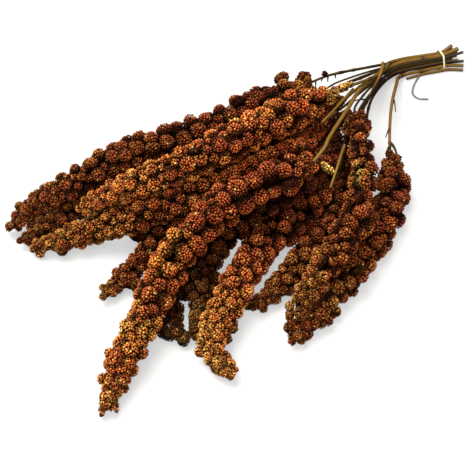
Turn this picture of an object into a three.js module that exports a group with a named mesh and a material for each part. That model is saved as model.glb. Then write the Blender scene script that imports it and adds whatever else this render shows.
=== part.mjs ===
// A bunch of dried red foxtail millet, cut and laid down on a flat surface.
// Twelve seed heads lie heaped in a fan, and their stems run together to a wire tie near the cut ends.
// +X runs from the tips of the heads to the cut ends and +Z is up. Sizes are in millimetres.
import * as THREE from 'three';

// Seed heads: each is a slim spike covered by blunt lobes, and a lobe is one cluster of seeds
const LOBES_AROUND = 6;
const ROW_PITCH = 11.8;
const FIRST_ROW = 0.55;
const LAST_ROW = 0.3;
const SLIM_PITCH = 0.4;
const VALLEY_DEPTH = 0.32;
const VALLEY_UNEVEN = 0.3;
const BASE_EDGE = 1;
const CROWN_WIDTH = 0.52;
const CROWN_UNEVEN = 0.07;
const SPINE_STEP = 2;
const LOBE_SERIES = 100;

// Where heads press on each other: the gap that stays, and how far in a lobe can give way
const HEAD_GAP = 0.9;
const PRESS_STEP = 0.2;
const PRESS_LIMIT = 0.3;

// How the reach of a head swells and tapers: [part of its length from the base, part of full reach].
// A few heads stay slim over their base half
const HEAD_PROFILE = [
  [0, 0.5], [0.05, 0.75], [0.15, 0.95], [0.3, 1], [0.6, 0.97], [0.85, 0.8], [0.95, 0.6], [1, 0.36],
];
const SLIM_BASE_PROFILE = [
  [0, 0.5], [0.05, 0.66], [0.25, 0.68], [0.45, 0.8], [0.65, 0.95], [0.85, 0.8], [0.95, 0.6], [1, 0.36],
];

// The six corners of a lobe round its middle: [half lobes round the head, row pitches along it]
const LOBE_CORNERS = [[0, -2 / 3], [1, -1 / 3], [1, 1 / 3], [0, 2 / 3], [-1, 1 / 3], [-1, -1 / 3]];

// Stems: straws of one thickness, each standing in a plain hole in the base of its head
const STEM_RADIUS = 1.3;
const STEM_SIDES = 6;
const STEM_STEPS = 16;
const STEM_LEAD = 13;
const HOLE_PLACE = 2.5;
const HOLE_DEPTH = 6;
const HOLE_CLEAR = 0.4;

// How stems that would cross are bent clear: the gap, the number of passes and the smoothing in each
const BEND_GAP = 0.55;
const BEND_PASSES = 80;
const BEND_SMOOTHING = 0.12;

// The tied bundle: stems lie in three layers, one straw pitch apart
const TIE_POINT = new THREE.Vector2(260.4, 17.4);
const BUNDLE_TURN = -0.48;
const STRAW_PITCH = 3.6;
const LAYER_RISE = STRAW_PITCH * Math.sin(Math.PI / 3);
const LOWEST_STRAW = 2.9;
const GATHER_BACK = 42;
const GATHER_SPREAD = 1.12;
const TIGHT_PART = 0.25;
const CUT_SPREAD = 1.55;

// The tie: one stiff wire, once round the bundle and then loose along the surface
const WIRE_RADIUS = 0.6;
const WIRE_SIDES = 6;
const WIRE_STEPS = 48;
const WIRE_CLEAR = 0.3;
const WIRE_LIFT = 0.1;
const LOOP_POINTS = 18;
const LOOP_ADVANCE = 2.2;
const WIRE_TAIL = [[247, 18], [238, 19], [222, 14.5], [212, 8], [210.5, 1.5], [215.5, -5]];

// Each head: its reach from its own axis, its axis from base to tip, the points that its stem passes,
// the stem's place in the bundle as [straws across, layer], how far it is cut beyond the tie, and its
// profile where that isn't the usual one
const HEADS = [
  {
    reach: 13.2,
    axis: [
      [133, 48, 35], [75, 60, 34], [23, 69, 34], [-19, 86, 34],
      [-62, 95, 28], [-91, 105.5, 18], [-116, 109.5, 7.5],
    ],
    stem: [[164, 46, 28], [193, 44, 18]],
    place: [1.5, 1],
    cut: 14,
  },
  {
    reach: 12.9,
    axis: [[114, 59, 11], [81, 65, 11], [27, 74, 11], [-23, 84, 11], [-62, 90, 10.5], [-115, 94, 7.2]],
    stem: [[167, 49, 11], [202, 44, 7]],
    place: [2, 0],
    cut: 10,
  },
  {
    reach: 13.2,
    axis: [
      [110, 16, 30], [55, 20, 32], [8, 23, 34], [-33, 30, 31],
      [-58, 48, 22], [-83, 66, 13.5], [-113, 85, 7.5],
    ],
    stem: [[140, 21, 30], [176, 30, 20]],
    place: [0.5, 1],
    cut: 16,
  },
  {
    reach: 13.2,
    axis: [[125, 17, 48], [69, 20, 56], [23, 23, 59], [-15, 33, 55], [-43, 52, 43], [-78, 73, 29]],
    stem: [[160, 18, 38], [200, 30, 20]],
    place: [1, 2],
    cut: 12,
  },
  {
    reach: 12,
    axis: [
      [140, 31, 10.3], [68, 37, 10.3], [25, 37, 10.3],
      [-14, 33, 10.3], [-52, 25, 10.3], [-107, 17.5, 7],
    ],
    stem: [[165, 32, 10], [196, 36, 7]],
    place: [1, 0],
    cut: 18,
  },
  {
    reach: 13.7,
    axis: [
      [51, -23, 50], [25, -20, 54], [-6, -11, 51], [-34, -7, 44],
      [-62, -8, 33], [-97, -21.5, 23], [-128.5, -34.5, 14.5], [-164, -53.5, 7],
    ],
    stem: [[86, -14, 52], [115, -1, 48.5], [141, 11, 42], [165, 20, 31]],
    place: [0, 2],
    cut: 15,
  },
  {
    reach: 11.2,
    axis: [
      [126, 8, 9.6], [55, 9, 9.6], [18, 8, 9.6], [-12, 7, 9.6],
      [-37, 4, 9.6], [-72, -11, 9], [-91, -46, 7],
    ],
    stem: [[152, 18, 9], [182, 28, 7]],
    place: [0, 0],
    cut: 11,
  },
  {
    reach: 11.7,
    axis: [
      [95, -9, 24], [62, -15, 32], [37, -17, 34], [10, -13, 31],
      [-13, -12, 24], [-33, -13, 18], [-51, -22, 13], [-86, -49, 7.5],
    ],
    stem: [[131, 5, 22], [172, 20, 18]],
    place: [-1, 2],
    cut: 17,
  },
  {
    reach: 13.7,
    axis: [
      [75, -22, 12.5], [45, -27, 11.8], [12, -28, 13], [-21, -35, 15.5],
      [-55, -50, 18], [-80, -60, 15], [-89, -70, 11.5], [-85, -91, 7.5],
    ],
    stem: [[109, -5, 14], [150, 12, 16], [183, 26, 10]],
    place: [-0.5, 1],
    cut: 13,
  },
  {
    reach: 12,
    axis: [
      [108, -21, 10.3], [72, -40, 10.3], [43, -49, 10.3],
      [19, -52, 10.3], [-6, -57, 10.3], [-48, -59, 7],
    ],
    stem: [[146, 4, 11], [177, 23, 9]],
    place: [-1, 0],
    cut: 19,
  },
  {
    reach: 12.7,
    axis: [
      [131.5, 4, 27], [103, -24.5, 30], [70, -52.5, 32], [42, -69, 32],
      [10, -76, 29], [-13, -82, 24.5], [-40, -86, 14.5],
    ],
    stem: [[163, 20, 23], [194, 29, 14]],
    place: [-1.5, 1],
    cut: 12,
    profile: SLIM_BASE_PROFILE,
  },
  {
    reach: 13.2,
    axis: [
      [129, -34, 11.3], [107, -54, 11.3], [82, -68, 11.3],
      [56, -77, 11.3], [2, -87, 11], [-45, -95.5, 7],
    ],
    stem: [[160, -8, 14], [182, 7, 13], [210, 23, 9]],
    place: [-2, 0],
    cut: 16,
  },
];

const HUSK_COLOUR = '#7c452a';
const HUES = 4;
const HUE_STEP = 0.004;
const LIGHTS = 3;
const LIGHT_STEP = 0.012;
const HUSK = { roughness: 0.5, metalness: 0, flatShading: true };
const STRAW = new THREE.MeshStandardMaterial({ color: '#93793f', roughness: 0.6, metalness: 0 });
const WIRE = new THREE.MeshStandardMaterial({ color: '#cfc8b4', roughness: 0.45, metalness: 0.3 });

// Repeatable random numbers from 0 to 1, one series for each seed
function randomSeries(seed) {
  let state = seed;
  return () => {
    state = (state + 0x6d2b79f5) | 0;
    let mixed = Math.imul(state ^ (state >>> 15), 1 | state);
    mixed = (mixed + Math.imul(mixed ^ (mixed >>> 7), 61 | mixed)) ^ mixed;
    return ((mixed ^ (mixed >>> 14)) >>> 0) / 4294967296;
  };
}

function curveThrough(points) {
  return new THREE.CatmullRomCurve3(points.map((point) => new THREE.Vector3(...point)), false, 'centripetal');
}

// Part of its full reach that a head with this profile has at this part of its length
function profileAt(profile, along) {
  const end = profile.findIndex(([place]) => place >= along);
  if (end <= 0) return profile[0][1];
  const [startPlace, startReach] = profile[end - 1];
  const [endPlace, endReach] = profile[end];
  return THREE.MathUtils.mapLinear(along, startPlace, endPlace, startReach, endReach);
}

// A head's axis as a curve, with its length, frames along it and the balls that fill its reach
function spineOf(head) {
  const { reach, profile = HEAD_PROFILE } = head;
  const curve = curveThrough(head.axis);
  const length = curve.getLength();
  const steps = Math.round(length / SPINE_STEP);
  const frames = curve.computeFrenetFrames(steps, false);
  const balls = [];
  for (let i = 0; i <= steps; i += 1) {
    balls.push({ centre: curve.getPointAt(i / steps), reach: reach * profileAt(profile, i / steps) });
  }
  return { curve, length, steps, frames, balls, reach, profile };
}

// Distance from a point to the nearest reach of the other heads
function clearOfHeads(point, spines, own) {
  let nearest = Infinity;
  for (const spine of spines) {
    if (spine === own) continue;
    for (const ball of spine.balls) {
      nearest = Math.min(nearest, point.distanceTo(ball.centre) - ball.reach);
    }
  }
  return nearest;
}

// A point of a head's surface. Where heads press on each other or on the surface below, it gives way
function surfacePoint(spine, along, angle, height, spines) {
  const part = THREE.MathUtils.clamp(along / spine.length, 0, 1);
  const frame = Math.round(part * spine.steps);
  const outward = spine.frames.normals[frame].clone().multiplyScalar(Math.cos(angle));
  outward.addScaledVector(spine.frames.binormals[frame], Math.sin(angle));
  const centre = spine.curve.getPointAt(part);
  const reach = spine.reach * profileAt(spine.profile, part);
  const least = PRESS_LIMIT * reach;
  let radius = reach * height;
  const point = new THREE.Vector3();
  do {
    point.copy(centre).addScaledVector(outward, radius);
    if (radius - reach + HEAD_GAP <= clearOfHeads(point, spines, spine)) break;
    radius -= PRESS_STEP;
  } while (radius > least);
  point.z = Math.max(point.z, 0);
  return point;
}

// Places along a head of its rows of lobes, closer together where the head is slim
function rowPlaces(spine) {
  const rows = [];
  let place = ROW_PITCH * FIRST_ROW;
  while (place < spine.length - ROW_PITCH * LAST_ROW) {
    const swell = profileAt(spine.profile, place / spine.length);
    const pitch = ROW_PITCH * THREE.MathUtils.lerp(SLIM_PITCH, 1, swell);
    rows.push({ place, pitch });
    place += pitch;
  }
  return rows;
}

// A seed head: six-sided lobes packed like a honeycomb round the axis, with a hole for the stem
function headGeometry(spine, spines, seed) {
  const random = randomSeries(seed);
  const vertices = [];
  const triangles = [];
  const add = (point) => vertices.push(point) - 1;
  const rows = rowPlaces(spine);
  const corners = LOBES_AROUND * 2;
  const step = Math.PI / LOBES_AROUND;
  const turn = random() * step;

  // Zigzag valleys between rows: corner j lies beyond a lobe of the row before or before one of the next
  const valleys = [];
  for (let row = -1; row < rows.length; row += 1) {
    const before = rows[row] ?? { place: rows[0].place - rows[0].pitch };
    const after = rows[row + 1] ?? { place: rows[row].place + rows[row].pitch };
    const ring = [];
    for (let j = 0; j < corners; j += 1) {
      const share = (j + row) % 2 === 0 ? 2 / 3 : 1 / 3;
      const along = Math.max(THREE.MathUtils.lerp(before.place, after.place, share), BASE_EDGE);
      const height = 1 - VALLEY_DEPTH * (1 + VALLEY_UNEVEN * (random() - 0.5));
      ring.push(add(surfacePoint(spine, along, turn + j * step, height, spines)));
    }
    valleys.push(ring);
  }

  // Lobes: a small three-cornered crown joined to the six valley corners round it
  rows.forEach(({ place, pitch }, row) => {
    for (let k = 0; k < LOBES_AROUND; k += 1) {
      const middle = 2 * k + (row % 2);
      const corner = (round, ring) => valleys[ring][(middle + round + corners) % corners];
      const edge = LOBE_CORNERS.map(([round, along]) => corner(round, along < 0 ? row : row + 1));
      const height = 1 - CROWN_UNEVEN * random();
      const first = random() < 0.5 ? 0 : 1;
      const crown = [0, 2, 4].map((i) => {
        const [round, along] = LOBE_CORNERS[i + first];
        const angle = turn + (middle + round * CROWN_WIDTH) * step;
        return add(surfacePoint(spine, place + along * CROWN_WIDTH * pitch, angle, height, spines));
      });
      triangles.push(crown);
      for (let i = 0; i < 3; i += 1) {
        const next = (i + 1) % 3;
        const near = edge[(2 * i + first) % 6];
        const between = edge[(2 * i + first + 1) % 6];
        const far = edge[(2 * i + first + 2) % 6];
        triangles.push([crown[i], near, between]);
        triangles.push([crown[i], between, crown[next]]);
        triangles.push([crown[next], between, far]);
      }
    }
  });

  // The tip closes on one point
  const tip = add(spine.curve.getPointAt(1));
  const last = valleys[valleys.length - 1];
  last.forEach((corner, j) => triangles.push([corner, last[(j + 1) % corners], tip]));

  // The base closes round the stem's hole
  const { mouth, inward } = holeOf(spine);
  const frame = Math.round(HOLE_PLACE / spine.length * spine.steps);
  const holeRadius = (STEM_RADIUS + HOLE_CLEAR) / Math.cos(Math.PI / STEM_SIDES);
  const ringAt = (depth) => Array.from({ length: LOBES_AROUND }, (_, k) => {
    const angle = turn + 2 * k * step;
    const point = mouth.clone().addScaledVector(inward, depth);
    point.addScaledVector(spine.frames.normals[frame], holeRadius * Math.cos(angle));
    return add(point.addScaledVector(spine.frames.binormals[frame], holeRadius * Math.sin(angle)));
  });
  const rim = ringAt(0);
  const floor = ringAt(HOLE_DEPTH);
  const end = add(mouth.clone().addScaledVector(inward, HOLE_DEPTH));
  for (let k = 0; k < LOBES_AROUND; k += 1) {
    const next = (k + 1) % LOBES_AROUND;
    const near = valleys[0][2 * k];
    const between = valleys[0][2 * k + 1];
    const far = valleys[0][2 * next];
    triangles.push([near, rim[k], between]);
    triangles.push([between, rim[k], rim[next]]);
    triangles.push([between, rim[next], far]);
    triangles.push([rim[k], floor[k], rim[next]]);
    triangles.push([rim[next], floor[k], floor[next]]);
    triangles.push([floor[k], end, floor[next]]);
  }

  const geometry = new THREE.BufferGeometry().setFromPoints(vertices);
  geometry.setIndex(triangles.flat());
  geometry.computeVertexNormals();
  return geometry;
}

// Where a stem's hole opens in the base of a head, and which way it runs in
function holeOf(spine) {
  const part = HOLE_PLACE / spine.length;
  return { mouth: spine.curve.getPointAt(part), inward: spine.curve.getTangentAt(part) };
}

// A place seen from above, so far along the bundle from the tie and so far across it
function besideTie(along, across) {
  return new THREE.Vector2(along, across).rotateAround(new THREE.Vector2(), BUNDLE_TURN).add(TIE_POINT);
}

// A stem's point in the bundle, so far along from the tie
function bundlePoint([across, layer], along, spread) {
  const place = besideTie(along, across * STRAW_PITCH * spread);
  return [place.x, place.y, LOWEST_STRAW + layer * LAYER_RISE * spread];
}

// A stem's route from the hole in its head to its cut end, as points a straw's width apart
function stemRoute(head, spine) {
  const { mouth, inward } = holeOf(spine);
  const curve = curveThrough([
    mouth.clone().addScaledVector(inward, HOLE_DEPTH - HOLE_CLEAR).toArray(),
    mouth.toArray(),
    mouth.clone().addScaledVector(inward, -STEM_LEAD).toArray(),
    ...head.stem,
    bundlePoint(head.place, -GATHER_BACK, GATHER_SPREAD),
    bundlePoint(head.place, -GATHER_BACK * TIGHT_PART, 1),
    bundlePoint(head.place, head.cut * TIGHT_PART, 1),
    bundlePoint(head.place, head.cut, CUT_SPREAD),
  ]);
  return curve.getSpacedPoints(Math.round(curve.getLength() / STEM_RADIUS / 2));
}

// Stems that would cross a stem or a head are bent clear of it, between the hole and the bundle
function bendClear(routes, spines) {
  const apart = 2 * STEM_RADIUS + BEND_GAP;
  const push = new THREE.Vector3();
  const isFree = (route, i) => i * STEM_RADIUS * 2 > HOLE_DEPTH + STEM_LEAD
    && (route.length - i) * STEM_RADIUS * 2 > GATHER_BACK;
  for (let pass = 0; pass < BEND_PASSES; pass += 1) {
    routes.forEach((route, own) => route.forEach((point, i) => {
      if (!isFree(route, i)) return;
      routes.forEach((other, index) => {
        if (index === own) return;
        for (const neighbour of other) {
          const distance = point.distanceTo(neighbour);
          if (distance < apart) {
            push.subVectors(point, neighbour).setLength((apart - distance) / 2);
            point.add(push);
          }
        }
      });
      spines.forEach((spine, index) => {
        if (index === own) return;
        for (const ball of spine.balls) {
          const distance = point.distanceTo(ball.centre);
          const least = ball.reach + STEM_RADIUS + BEND_GAP;
          if (distance < least) {
            push.subVectors(point, ball.centre).setLength(least - distance);
            point.add(push);
          }
        }
      });
      if (i > 0 && i < route.length - 1) {
        push.addVectors(route[i - 1], route[i + 1]).multiplyScalar(0.5);
        point.lerp(push, BEND_SMOOTHING);
      }
    }));
  }
}

// A round bar of few sides along a curve
function barGeometry(curve, radius, sides, steps) {
  const section = new THREE.Shape();
  for (let k = 0; k < sides; k += 1) {
    const angle = k / sides * Math.PI * 2;
    const corner = [radius * Math.cos(angle), radius * Math.sin(angle)];
    if (k === 0) section.moveTo(...corner);
    else section.lineTo(...corner);
  }
  return new THREE.ExtrudeGeometry(section, { steps, extrudePath: curve, bevelEnabled: false });
}

// The tie's route: round the outermost stems, a wire's width clear of them, then off as the loose tail
function tieRoute() {
  const straws = HEADS.map(({ place: [across, layer] }) => (
    new THREE.Vector2(across * STRAW_PITCH, layer * LAYER_RISE)
  ));
  const clear = STEM_RADIUS + WIRE_CLEAR + WIRE_RADIUS;
  const route = [];
  for (let i = 0; i <= LOOP_POINTS; i += 1) {
    const angle = -Math.PI / 2 + i / LOOP_POINTS * Math.PI * 2;
    const way = new THREE.Vector2(Math.cos(angle), Math.sin(angle));
    const outermost = straws.reduce((best, straw) => (straw.dot(way) > best.dot(way) ? straw : best));
    const point = outermost.clone().addScaledVector(way, clear);
    const along = LOOP_ADVANCE * (0.5 - i / LOOP_POINTS);
    const place = besideTie(along, point.x);
    route.push([place.x, place.y, LOWEST_STRAW + point.y]);
  }
  return curveThrough([...route, ...WIRE_TAIL.map(([x, y]) => [x, y, WIRE_RADIUS + WIRE_LIFT])]);
}

const bunch = new THREE.Group();
const spines = HEADS.map(spineOf);
const routes = HEADS.map((head, i) => stemRoute(head, spines[i]));
bendClear(routes, spines);

HEADS.forEach((head, i) => {
  const number = i + 1;
  const husk = new THREE.MeshStandardMaterial({ ...HUSK, color: HUSK_COLOUR });
  husk.color.offsetHSL(HUE_STEP * (i % HUES), 0, LIGHT_STEP * (i % LIGHTS));
  const seedHead = new THREE.Mesh(headGeometry(spines[i], spines, LOBE_SERIES + number), husk);
  seedHead.name = `head_${number}`;
  const route = new THREE.CatmullRomCurve3(routes[i], false, 'centripetal');
  const stem = new THREE.Mesh(barGeometry(route, STEM_RADIUS, STEM_SIDES, STEM_STEPS), STRAW);
  stem.name = `stem_${number}`;
  bunch.add(seedHead, stem);
});

const tie = new THREE.Mesh(barGeometry(tieRoute(), WIRE_RADIUS, WIRE_SIDES, WIRE_STEPS), WIRE);
tie.name = 'tie_wire';
bunch.add(tie);

// The origin is on the surface, under the middle of the bunch
const extent = new THREE.Box3().setFromObject(bunch);
const middle = extent.getCenter(new THREE.Vector3());
bunch.position.set(-middle.x, -middle.y, -extent.min.z);

export default bunch;
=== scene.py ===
import math
from collections import namedtuple

import bmesh
import bpy
import numpy as np
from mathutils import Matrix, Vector


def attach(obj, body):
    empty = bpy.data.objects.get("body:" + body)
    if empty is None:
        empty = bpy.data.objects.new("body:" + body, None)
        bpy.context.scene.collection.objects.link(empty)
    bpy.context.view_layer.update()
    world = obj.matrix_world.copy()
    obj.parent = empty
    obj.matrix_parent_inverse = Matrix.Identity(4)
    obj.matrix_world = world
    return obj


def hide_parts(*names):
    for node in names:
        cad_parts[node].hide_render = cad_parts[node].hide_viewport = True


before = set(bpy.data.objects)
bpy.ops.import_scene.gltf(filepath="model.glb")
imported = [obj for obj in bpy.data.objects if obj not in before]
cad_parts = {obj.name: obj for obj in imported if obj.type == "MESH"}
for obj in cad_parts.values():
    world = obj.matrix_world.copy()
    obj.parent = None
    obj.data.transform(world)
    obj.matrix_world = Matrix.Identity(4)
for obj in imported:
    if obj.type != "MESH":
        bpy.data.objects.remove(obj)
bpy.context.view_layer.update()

bpy.ops.object.select_all(action="DESELECT")
MM = 0.001


# The studio: the bunch lies on a sheet of white acrylic that is lit a little from below. One broad soft box
# hangs behind it on the left, a weak one stands in front, and the room is pale above and dark below.
IMAGE_WIDTH = 470  # in pixels, as is the focal length
FOCAL_LENGTH = 950
SENSOR_WIDTH = 36
VIEW_TURN = math.radians(-45)
VIEW_TILT = math.radians(47)
VIEW_DISTANCE = 665 * MM
VIEW_TARGET = Vector((-57.31, -7.01, 0)) * MM
ROOM_HEIGHTS = (-0.1, 0.3)
ROOM_TONES = (0.02, 0.32)
SHEET_SIZE = 6
SHEET_WHITE = 0.34
SHEET_GLOW = 0.47

view_back = Vector((math.sin(VIEW_TURN) * math.cos(VIEW_TILT),
                    -math.cos(VIEW_TURN) * math.cos(VIEW_TILT), math.sin(VIEW_TILT)))
bpy.ops.object.camera_add(location=VIEW_TARGET + view_back * VIEW_DISTANCE)
camera = bpy.context.object
camera.rotation_euler = view_back.to_track_quat("Z", "Y").to_euler()
camera.data.sensor_width = SENSOR_WIDTH
camera.data.lens = SENSOR_WIDTH * FOCAL_LENGTH / IMAGE_WIDTH
camera.data.clip_start = 10 * MM
bpy.context.scene.camera = camera
bpy.context.scene.view_settings.view_transform = "Standard"


def soft_box(name, place, size, power, colour):
    """A square soft box that faces the middle of the bunch."""
    bpy.ops.object.light_add(type="AREA", location=Vector(place))
    lamp = bpy.context.object
    lamp.name = name
    lamp.data.shape = "SQUARE"
    lamp.data.size = size
    lamp.data.energy = power
    lamp.data.color = colour
    lamp.rotation_euler = Vector(place).to_track_quat("Z", "Y").to_euler()


soft_box("key_light", place=(-0.22, 0.38, 1.2), size=1.0, power=32, colour=(1.0, 0.96, 0.9))
soft_box("fill_light", place=(-0.7, -0.7, 0.9), size=1.2, power=15, colour=(1.0, 0.98, 0.95))

room = bpy.data.worlds.new("pale_room")
bpy.context.scene.world = room
room.use_nodes = True
room_nodes = room.node_tree.nodes
room_links = room.node_tree.links
heights = room_nodes.new("ShaderNodeSeparateXYZ")
walls = room_nodes.new("ShaderNodeMapRange")
walls.inputs["From Min"].default_value, walls.inputs["From Max"].default_value = ROOM_HEIGHTS
walls.inputs["To Min"].default_value, walls.inputs["To Max"].default_value = ROOM_TONES
room_links.new(room_nodes.new("ShaderNodeTexCoord").outputs["Generated"], heights.inputs["Vector"])
room_links.new(heights.outputs["Z"], walls.inputs["Value"])
room_links.new(walls.outputs["Result"], room_nodes["Background"].inputs["Color"])

bpy.ops.mesh.primitive_plane_add(size=SHEET_SIZE)
sheet = bpy.context.object
sheet.name = "acrylic_sheet"
sheet_paint = bpy.data.materials.new("lit_acrylic")
sheet_paint.use_nodes = True
sheet_shader = sheet_paint.node_tree.nodes["Principled BSDF"]
sheet_shader.inputs["Base Color"].default_value = (SHEET_WHITE, SHEET_WHITE, SHEET_WHITE, 1)
sheet_shader.inputs["Roughness"].default_value = 0.9
sheet_shader.inputs["Specular IOR Level"].default_value = 0
sheet_shader.inputs["Emission Color"].default_value = (1, 1, 1, 1)
sheet_shader.inputs["Emission Strength"].default_value = SHEET_GLOW
sheet.data.materials.append(sheet_paint)
sheet.visible_diffuse = False
sheet.visible_glossy = False


# Straw stems: one dry, hollow straw for each head, grown thinner towards the head and swollen at its joints.
# They are gathered into one bundle and cut off square beyond the tie. Some dried golden and some went dark.
STRAW_RADIUS = 1.36 * MM
STRAW_STEP = 2.5 * MM
STRAW_SIDES = 10
STRAW_DRAWS = 700
STRAW_THINNING = ((0, 0.45, 1), (1, 0.95, 0.72))  # shares of its length, and of its radius there
STRAW_GIRTHS = (0.95, 0.9, 1.0, 1.1, 0.95, 1.3, 0.95, 0.9, 0.78, 0.9, 0.8, 1.08)
STRAW_AGES = (0.62, 0.8, 0.3, 0.22, 0.85, 0.16, 0.7, 0.95, 0.3, 0.85, 0.7, 0.22)  # from golden to dark
STRAW_BENT_FROM = {6: 12}  # points of its solid's route that a bent straw keeps, before the ones in mm below
STRAW_BENT_TO = {6: ((22.5, -20.8, 51), (11, -25.5, 50), (-2.6, -27.2, 46))}
STRAW_WALL = 0.35
STRAW_HOLLOW = 4 * MM
JOINTS = 3
JOINT_PLACES = (0.12, 0.8)
JOINT_SWELL = 0.3
JOINT_HALF_LENGTH = 2.2 * MM
CUT_FADE = 1.2 * MM
STREAK_LENGTH = 14 * MM
RING_REACH = 4 * MM
MERGE = 0.01 * MM
CURVE_CUTS = 24
SMOOTH_ANGLE = math.radians(50)
STRAW_COLOURS = ((0.0, 0.20, 0.102, 0.012), (0.35, 0.125, 0.066, 0.009),
                 (0.6, 0.058, 0.032, 0.007), (1.0, 0.020, 0.011, 0.004))
JOINT_BROWN = (0.035, 0.016, 0.006)
CUT_PITH = (0.10, 0.085, 0.06)


def unit(ways):
    return ways / np.linalg.norm(ways, axis=-1, keepdims=True)


def merged_solid(node):
    """A working copy of a node's solid with its corners joined, which is freed after use."""
    solid = bmesh.new()
    solid.from_mesh(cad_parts[node].data)
    bmesh.ops.remove_doubles(solid, verts=solid.verts, dist=MERGE)
    return solid


def route_of(node, ring_reach):
    """The middle line of a bar-shaped solid, from its rings of corners, starting at its +X end."""
    solid = merged_solid(node)
    end = max(solid.verts, key=lambda corner: corner.co.x)
    ring = {corner for corner in solid.verts if (corner.co - end.co).length < ring_reach}
    seen = set()
    route = []
    while ring:
        in_order = sorted(ring, key=lambda corner: corner.index)
        route.append(sum((corner.co for corner in in_order), Vector()) / len(ring))
        seen |= ring
        ring = {edge.other_vert(corner) for corner in ring for edge in corner.link_edges} - seen
    solid.free()
    return np.array([tuple(point) for point in route])


def even_route(points, step):
    """A smooth curve through the points, cut into even steps, and the length up to each of them."""
    points = np.asarray(points, float)
    padded = np.vstack([2 * points[0] - points[1], points, 2 * points[-1] - points[-2]])
    share = np.linspace(0, 1, CURVE_CUTS, endpoint=False)[:, None]
    stretches = []
    for a, b, c, d in zip(padded, padded[1:], padded[2:], padded[3:]):
        stretches.append(0.5 * (2 * b + (c - a) * share + (2 * a - 5 * b + 4 * c - d) * share ** 2
                                + (3 * b - a - 3 * c + d) * share ** 3))
    fine = np.vstack(stretches + [points[-1:]])
    travelled = np.concatenate([[0], np.cumsum(np.linalg.norm(np.diff(fine, axis=0), axis=1))])
    lengths = np.linspace(0, travelled[-1], max(int(round(travelled[-1] / step)), 3) + 1)
    return np.stack([np.interp(lengths, travelled, fine[:, axis]) for axis in range(3)], axis=1), lengths


def bar_along(name, route, radii, sides):
    """A round bar swept along a route, made a mesh with its ends closed."""
    line = bpy.data.curves.new(name, "CURVE")
    line.dimensions = "3D"
    line.bevel_depth = 1
    line.bevel_resolution = sides // 2 - 2
    line.use_fill_caps = True
    spline = line.splines.new("POLY")
    spline.points.add(len(route) - 1)
    spline.points.foreach_set("co", np.column_stack([route, np.ones(len(route))]).ravel())
    spline.points.foreach_set("radius", np.asarray(radii, float))
    bar = bpy.data.objects.new(name, line)
    bpy.context.collection.objects.link(bar)
    bpy.ops.object.select_all(action="DESELECT")
    bpy.context.view_layer.objects.active = bar
    bar.select_set(True)
    bpy.ops.object.convert(target="MESH")
    bpy.ops.object.mode_set(mode="EDIT")
    bpy.ops.mesh.select_all(action="SELECT")
    bpy.ops.mesh.remove_doubles(threshold=MERGE)
    bpy.ops.mesh.normals_make_consistent(inside=False)
    bpy.ops.object.mode_set(mode="OBJECT")
    bpy.context.object.data.materials.clear()
    return bpy.context.object


def hollow_end(bar, route, radius):
    """Sinks a hole into the closed end of a bar where its route starts."""
    inward = Vector(route[1] - route[0]).normalized()
    bpy.ops.object.mode_set(mode="EDIT")
    bpy.ops.mesh.select_all(action="DESELECT")
    bpy.ops.object.mode_set(mode="OBJECT")
    for face in bar.data.polygons:
        near_end = (face.center - Vector(route[0])).length < radius / 2
        face.select = bool(near_end) and face.normal.dot(inward) < -0.7
    bpy.ops.object.mode_set(mode="EDIT")
    bpy.ops.mesh.select_mode(type="FACE")
    bpy.ops.mesh.inset(thickness=radius * STRAW_WALL)
    bpy.ops.mesh.extrude_region_move(TRANSFORM_OT_translate={"value": inward * STRAW_HOLLOW})
    bpy.ops.object.mode_set(mode="OBJECT")


def set_values(mesh, name, values):
    """Stores one number, or one vector, for each corner of a mesh."""
    values = np.asarray(values, float)
    kind = "FLOAT_VECTOR" if values.ndim == 2 else "FLOAT"
    layer = mesh.attributes.new(name, kind, "POINT")
    layer.data.foreach_set("vector" if values.ndim == 2 else "value", values.ravel())


def corners_by_route(bar, route):
    """The corners of a bar, and the index of the point of its route that is nearest to each."""
    corners = np.array([tuple(corner.co) for corner in bar.data.vertices])
    return corners, np.linalg.norm(corners[:, None] - route[None], axis=2).argmin(axis=1)


def finish_straw(bar, route, lengths, age, swelling):
    """Smooths a straw, and stores its age, joints, cut end and a place round and along it on its mesh."""
    bpy.ops.object.select_all(action="DESELECT")
    bpy.context.view_layer.objects.active = bar
    bar.select_set(True)
    bpy.ops.object.shade_smooth_by_angle(angle=SMOOTH_ANGLE)
    corners, nearest = corners_by_route(bar, route)
    tangents = unit(np.gradient(route, axis=0))[nearest]
    sideways = unit(np.cross(tangents, (0, 0, 1)))
    upwards = np.cross(sideways, tangents)
    outward = corners - route[nearest]
    angles = np.arctan2((outward * upwards).sum(axis=1), (outward * sideways).sum(axis=1))
    along = lengths[nearest]
    around = np.stack([np.cos(angles), np.sin(angles), along / STREAK_LENGTH], axis=1)
    set_values(bar.data, "straw_place", around)
    set_values(bar.data, "straw_age", np.full(len(corners), age))
    set_values(bar.data, "straw_joint", np.clip(swelling[nearest], 0, 1))
    set_values(bar.data, "straw_cut", np.exp(-along / CUT_FADE))
    bar.data.materials.append(straw_paint)
    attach(bar, "root")


def add_node(tree, kind, **settings):
    node = tree.nodes.new(kind)
    for name, value in settings.items():
        setattr(node, name, value)
    return node


def read_values(tree, name):
    return add_node(tree, "ShaderNodeAttribute", attribute_name=name)


def colour_ramp(tree, fac, stops):
    """A colour ramp of (place, red, green, blue) stops on a value."""
    ramp = add_node(tree, "ShaderNodeValToRGB")
    elements = ramp.color_ramp.elements
    while len(elements) < len(stops):
        elements.new(0.5)
    for element, (place, *colour) in zip(elements, stops):
        element.position = place
        element.color = (*colour, 1)
    tree.links.new(fac, ramp.inputs["Fac"])
    return ramp.outputs["Color"]


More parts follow.
